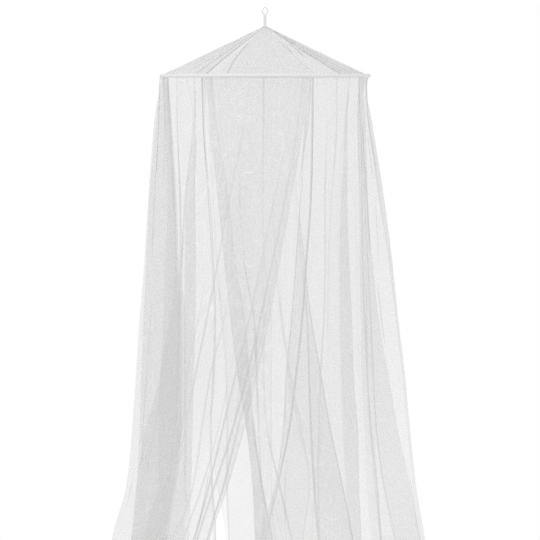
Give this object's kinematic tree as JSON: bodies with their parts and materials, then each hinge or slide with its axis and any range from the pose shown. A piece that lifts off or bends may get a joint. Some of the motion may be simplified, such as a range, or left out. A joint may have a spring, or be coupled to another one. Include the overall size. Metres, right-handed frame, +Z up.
{
  "type": "mosquito net canopy with hoop",
  "caption": "Round hanging mosquito net: wire ring and strap, pleated net cone, sleeved hoop, and long overlapping net panels that part at the front.",
  "frame": {"origin": "the point on the inside of the hanging ring's top where a hook bears", "axes": "+Z up along the hanging line, -Y to the front where the panels overlap and part, +X to the right as seen from the front"},
  "size_m": [1.0715, 0.9327, 2.3029],
  "materials": {
    "wire": "white coated steel wire, satin",
    "tape": "woven white tape, matte",
    "net": "sheer white knitted polyester net, fine open mesh",
    "rod": "white plastic rod",
    "sleeve_cloth": "white net folded double as a sleeve, matte"
  },
  "bodies": {
    "root": {"hanging_ring": "wire", "hanging_strap": "tape", "canopy_top": "net", "hoop": "rod", "hoop_sleeve": "sleeve_cloth", "skirt_left": "net", "skirt_right": "net", "skirt_back": "net"}
  },
  "joints": []
}
